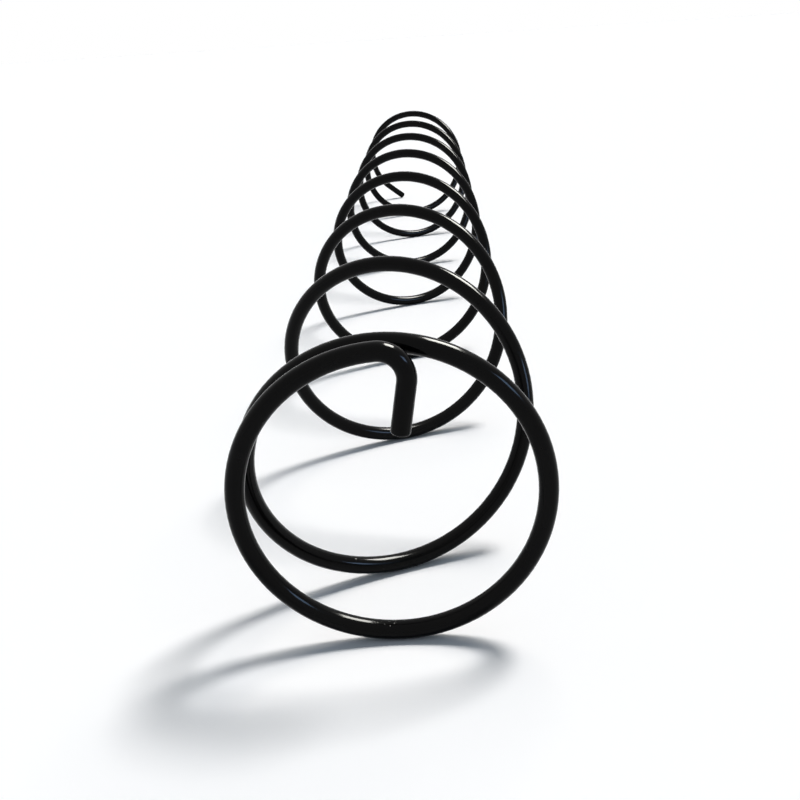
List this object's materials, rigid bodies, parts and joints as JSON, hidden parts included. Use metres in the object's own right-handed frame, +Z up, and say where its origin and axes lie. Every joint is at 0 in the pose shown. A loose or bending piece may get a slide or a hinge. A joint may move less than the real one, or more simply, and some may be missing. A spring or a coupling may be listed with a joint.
{
  "type": "compression spring",
  "caption": "Open helical spring of round black coated wire with a closed end turn, a radial tang bent in from it and a plain cut far end.",
  "frame": {"origin": "on the floor under the middle of the coil's length, the bottom centre of its box as it lies", "axes": "+Y along the coil's axis from the tang end to the plain end, +Z up as the coil lies with the tang at the top of its end turn, +X to the right seen from the tang end"},
  "size_m": [0.066, 0.6219, 0.066],
  "materials": {
    "wire": "gloss black coating"
  },
  "bodies": {
    "root": {"spring": "wire"}
  },
  "joints": []
}
